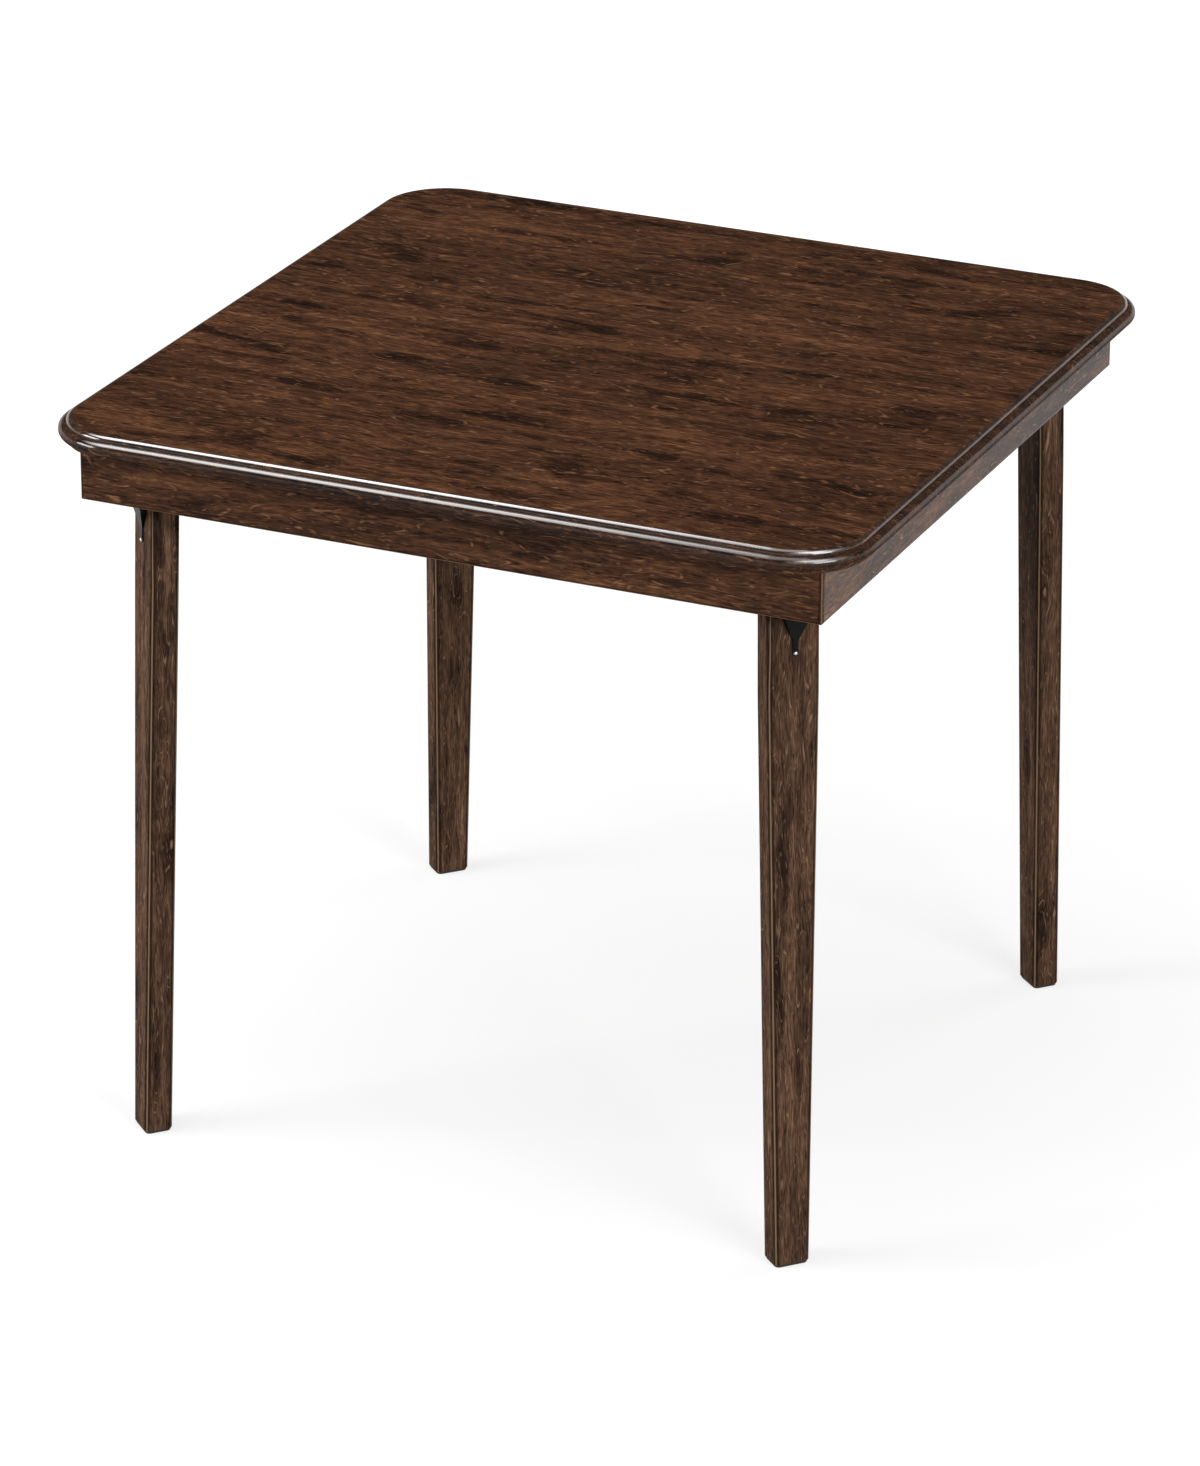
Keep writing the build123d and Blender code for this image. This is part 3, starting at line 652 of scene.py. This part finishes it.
def wind_thread(body, core, ridge, start, turns, pitch):
    """Wind a triangular ridge round the core and join it to the body."""
    bpy.ops.object.select_all(action="DESELECT")
    bpy.ops.mesh.primitive_circle_add(
        vertices=3, radius=ridge, rotation=(math.pi / 2, math.pi / 2, 0), location=(core, 0, -start))
    thread = bpy.context.object
    bpy.ops.object.transform_apply(location=True, rotation=True)
    wind = thread.modifiers.new("wind", "SCREW")
    wind.angle = 2 * math.pi * turns
    wind.screw_offset = -pitch * turns
    wind.steps = TURN_STEPS * turns
    wind.render_steps = TURN_STEPS * turns
    bpy.ops.object.modifier_apply(modifier=wind.name)
    bpy.ops.object.mode_set(mode="EDIT")
    bpy.ops.mesh.select_all(action="SELECT")
    bpy.ops.mesh.normals_make_consistent(inside=False)
    bpy.ops.object.mode_set(mode="OBJECT")
    body.select_set(True)
    bpy.context.view_layer.objects.active = body
    bpy.ops.object.join()


# %% Where the frame has its screws
def screw_places(name):
    """The head's middle, the direction of the shank and the length of each screw of a node."""
    loose = bpy.data.objects.new("loose_screws", nodes[name].data.copy())
    bpy.context.scene.collection.objects.link(loose)
    only(loose)
    bpy.ops.object.mode_set(mode="EDIT")
    bpy.ops.mesh.select_all(action="SELECT")
    bpy.ops.mesh.remove_doubles(threshold=WELD_DISTANCE)
    bpy.ops.mesh.separate(type="LOOSE")
    bpy.ops.object.mode_set(mode="OBJECT")
    places = []
    for screw in list(bpy.context.selected_objects):
        points = [vertex.co.copy() for vertex in screw.data.vertices]
        low = Vector(min(p[i] for p in points) for i in range(3))
        high = Vector(max(p[i] for p in points) for i in range(3))
        along = max(range(3), key=lambda i: high[i] - low[i])
        middle = (low + high) / 2
        widest = max(points, key=lambda p: sum((p[i] - middle[i]) ** 2 for i in range(3) if i != along))
        head, tip = middle.copy(), middle.copy()
        head_is_low = widest[along] < middle[along]
        head[along] = low[along] if head_is_low else high[along]
        tip[along] = high[along] if head_is_low else low[along]
        places.append((head, (tip - head).normalized(), (tip - head).length))
        bpy.data.objects.remove(screw)
    return places


def set_screws(model, name, new_name):
    """Copy one modelled screw to every place of a node, each turned a little differently."""
    copies = []
    for i, (head, direction, _) in enumerate(screw_places(name)):
        screw = bpy.data.objects.new(f"{new_name}_{i}", model.data.copy())
        bpy.context.scene.collection.objects.link(screw)
        aimed = direction.to_track_quat("-Z", "Y").to_matrix().to_4x4()
        own_turn = Matrix.Rotation(math.radians(37 * i), 4, "Z")
        screw.matrix_world = Matrix.Translation(head) @ aimed @ own_turn
        copies.append(screw)
    bpy.ops.object.select_all(action="DESELECT")
    for screw in copies:
        screw.select_set(True)
    bpy.context.view_layer.objects.active = copies[0]
    bpy.ops.object.transform_apply(location=True, rotation=True, scale=False)
    bpy.ops.object.join()
    copies[0].name = new_name
    smooth(copies[0], 35)
    return hand_over(copies[0], [zinc], name)


# %% The countersunk screws of the corner brackets
WING_HEAD, WING_CORE, WING_RIDGE = 3.5 * MM, 1.15 * MM, 0.42 * MM
wing_length = screw_places("bracket_screws_front_left")[0][2]
wing_screw = turned_body("countersunk_screw", [
    (WING_HEAD, 0), (WING_HEAD, 0.2 * MM), (1.6 * MM, 1.9 * MM), (1.6 * MM, 4.5 * MM),
    (WING_CORE, 5 * MM), (WING_CORE, wing_length - 2.2 * MM), (0.15 * MM, wing_length - 0.1 * MM)])
cut_cross(wing_screw, 3.6 * MM, 0.9 * MM, 1.1 * MM)
wind_thread(wing_screw, WING_CORE, WING_RIDGE, 5.2 * MM, 5, 1.3 * MM)
print("a countersunk screw:", round(wing_length / MM, 1), "mm,", len(wing_screw.data.polygons), "faces")

# %% The pan-head screws of the rails
PAN_HEAD, PAN_CORE, PAN_RIDGE = 4 * MM, 1.5 * MM, 0.48 * MM
rail_length = screw_places("rail_screws_front")[0][2]
rail_screw = turned_body("pan_head_screw", [
    (2.6 * MM, 0), (3.6 * MM, 0.5 * MM), (PAN_HEAD, 1.3 * MM), (PAN_HEAD, 2.4 * MM), (2 * MM, 2.4 * MM),
    (2 * MM, rail_length - 14 * MM), (PAN_CORE, rail_length - 13.4 * MM),
    (PAN_CORE, rail_length - 2.6 * MM), (0.2 * MM, rail_length - 0.1 * MM)])
cut_cross(rail_screw, 4.2 * MM, 1.0 * MM, 1.3 * MM)
wind_thread(rail_screw, PAN_CORE, PAN_RIDGE, rail_length - 13 * MM, 6, 1.6 * MM)
print("a pan-head screw:", round(rail_length / MM, 1), "mm,", len(rail_screw.data.polygons), "faces")

# %% Every screw in its place
for corner in CORNERS:
    set_screws(wing_screw, f"bracket_screws_{corner}", f"countersunk_screws_{corner}")
for side in SIDES:
    set_screws(rail_screw, f"rail_screws_{side}", f"pan_head_screws_{side}")
bpy.data.objects.remove(wing_screw)
bpy.data.objects.remove(rail_screw)

# %% [markdown]
# ## Floor, light and background
#
# The table stands in a plain white studio. The floor is white wherever it is seen, directly
# or in a reflection, and still keeps a soft shadow, because only part of its white is its
# own. The lamps are large and soft. Two stand off the front corners, so that the outer faces
# of the legs are light and the faces that look under the table stay dark. What draws the long
# bright line on the front roll is a tall window far off on the left, and a small lamp high on
# the right puts the bright spot on the front right corner. Both are part of the world, and
# only gloss sees them: real lamps of that brightness would also have bleached the field.

# %% The floor
# Near the table some of the floor's white is the lamps' light, so that a shadow can fall on it.
OWN_WHITE_NEAR = 0.74
OWN_WHITE_FAR = 1.0


def studio_white():
    """A white floor that keeps part of its shadow."""
    material, tree, shader, coordinates = start_finish("white_studio_floor", {
        "Roughness": 1.0, "Specular IOR Level": 0.0, "Emission Color": (1, 1, 1, 1)})
    rays = node(tree, "LightPath")
    seen = node(tree, "Math", {0: rays["Is Camera Ray"], 1: rays["Is Glossy Ray"]}, operation="MAXIMUM")[0]
    seen = node(tree, "Math", {0: seen, 1: rays["Is Transmission Ray"]}, operation="MAXIMUM")[0]
    colour = node(tree, "Mix", {
        "Factor": seen, 6: linear("#dedede"), 7: linear("#9a9a9a")}, data_type="RGBA")[2]
    tree.links.new(colour, shader.inputs["Base Color"])
    away = node(tree, "VectorMath", {0: coordinates["Object"]}, operation="LENGTH")["Value"]
    own = node(tree, "MapRange", {
        "Value": away, "From Min": 0.9, "From Max": 2.6,
        "To Min": OWN_WHITE_NEAR, "To Max": OWN_WHITE_FAR})[0]
    own_white = node(tree, "Math", {0: seen, 1: own}, operation="MULTIPLY")[0]
    tree.links.new(own_white, shader.inputs["Emission Strength"])
    return material


bpy.ops.object.select_all(action="DESELECT")
bpy.ops.mesh.primitive_plane_add(size=80, location=(0, 0, 0))
floor = bpy.context.object
floor.name = "studio_floor"
floor.data.materials.append(studio_white())
print("the floor's far edge is", round(floor.dimensions.x / 2), "m away")

# %% The lamps
def soft_box(name, place, aim, width, depth, watts):
    """A rectangular lamp at a place, facing a point."""
    light = bpy.data.lights.new(name, "AREA")
    light.shape = "RECTANGLE"
    light.size = width
    light.size_y = depth
    light.energy = watts
    lamp = bpy.data.objects.new(name, light)
    bpy.context.scene.collection.objects.link(lamp)
    lamp.location = place
    lamp.rotation_euler = (Vector(aim) - Vector(place)).to_track_quat("-Z", "Y").to_euler()
    return lamp


soft_box("overhead", (-0.6, -0.4, 3.4), (0, 0, 0.5), 2.6, 2.6, 60)
soft_box("front_right", (4.4, -2.6, 2.7), (0, 0, 0.5), 2.6, 1.8, 170)
soft_box("front_left", (-4.2, -3.0, 2.4), (0, 0, 0.4), 2.4, 1.8, 170)
back_fill = soft_box("back_fill", (2.8, 4.2, 1.6), (0, 0, 0.5), 2.4, 2.0, 70)
back_fill.visible_glossy = False

# %% The air around
# The camera sees white. So does gloss, near the horizon. All else gets this much grey light.
AIR_LEVEL = 0.10
world = bpy.data.worlds.new("studio_air")
bpy.context.scene.world = world
world.use_nodes = True
air = world.node_tree
air.nodes.clear()
rays = node(air, "LightPath")
glossy = rays["Is Glossy Ray"]
direction = node(air, "SeparateXYZ", {0: node(air, "TexCoord")["Generated"]})
low = node(air, "MapRange", {"Value": direction["Z"], "From Min": 0.26, "From Max": 0.16})[0]
mirrored = node(air, "Math", {0: glossy, 1: rays["Is Transmission Ray"]}, operation="MAXIMUM")[0]
mirrored = node(air, "Math", {0: mirrored, 1: low}, operation="MULTIPLY")[0]
seen = node(air, "Math", {0: rays["Is Camera Ray"], 1: mirrored}, operation="MAXIMUM")[0]
level = node(air, "MapRange", {"Value": seen, "To Min": AIR_LEVEL, "To Max": 1.0})[0]
print("grey light that the air gives to everything dull:", AIR_LEVEL)

# %% The tall window on the left
# Its right side leans a little, so the line on the roll thins out towards the right.
WINDOW_LEVEL = 13.0
WINDOW_LEAN = -0.035
lean = node(air, "Math", {
    0: direction["Y"], 1: WINDOW_LEAN, 2: direction["X"]}, operation="MULTIPLY_ADD")[0]
beside = node(air, "MapRange", {"Value": lean, "From Min": -0.355, "From Max": -0.395})[0]
above = node(air, "MapRange", {"Value": direction["Z"], "From Min": 0.72, "From Max": 0.88})[0]
window = node(air, "Math", {0: beside, 1: above}, operation="MULTIPLY")[0]
window = node(air, "Math", {0: window, 1: glossy}, operation="MULTIPLY")[0]
level = node(air, "Math", {0: window, 1: WINDOW_LEVEL, 2: level}, operation="MULTIPLY_ADD")[0]
print("the window, in times the white of the horizon:", WINDOW_LEVEL)

# %% A paler wall in front on the right
WALL_LEVEL = 3.4
rightward = node(air, "MapRange", {"Value": direction["X"], "From Min": 0.0, "From Max": 0.4})[0]
in_front = node(air, "MapRange", {"Value": direction["Y"], "From Min": 0.3, "From Max": -0.1})[0]
raised = node(air, "MapRange", {"Value": direction["Z"], "From Min": 0.15, "From Max": 0.5})[0]
wall = node(air, "Math", {0: rightward, 1: in_front}, operation="MULTIPLY")[0]
wall = node(air, "Math", {0: wall, 1: raised}, operation="MULTIPLY")[0]
wall = node(air, "Math", {0: wall, 1: glossy}, operation="MULTIPLY")[0]
level = node(air, "Math", {0: wall, 1: WALL_LEVEL, 2: level}, operation="MULTIPLY_ADD")[0]
print("the paler wall, in times the white of the horizon:", WALL_LEVEL)

# %% A small lamp high in front on the right, which the front right corner mirrors
SPOT_LEVEL = 9.0
SPOT_DIRECTION = (0.454, -0.345, 0.820)
towards = node(air, "VectorMath", {
    0: node(air, "TexCoord")["Generated"], 1: SPOT_DIRECTION}, operation="DOT_PRODUCT")["Value"]
spot = node(air, "MapRange", {"Value": towards, "From Min": 0.93, "From Max": 0.98})[0]
spot = node(air, "Math", {0: spot, 1: glossy}, operation="MULTIPLY")[0]
level = node(air, "Math", {0: spot, 1: SPOT_LEVEL, 2: level}, operation="MULTIPLY_ADD")[0]
print("patterns in the air's light:", len(air.nodes), "nodes")

# %% The air's light and the colours as written
background = node(air, "Background", {"Color": (1, 1, 1, 1), "Strength": level})
node(air, "OutputWorld", {"Surface": background["Background"]})
bpy.context.scene.view_settings.view_transform = "Standard"
print("colours are shown by the view", bpy.context.scene.view_settings.view_transform)
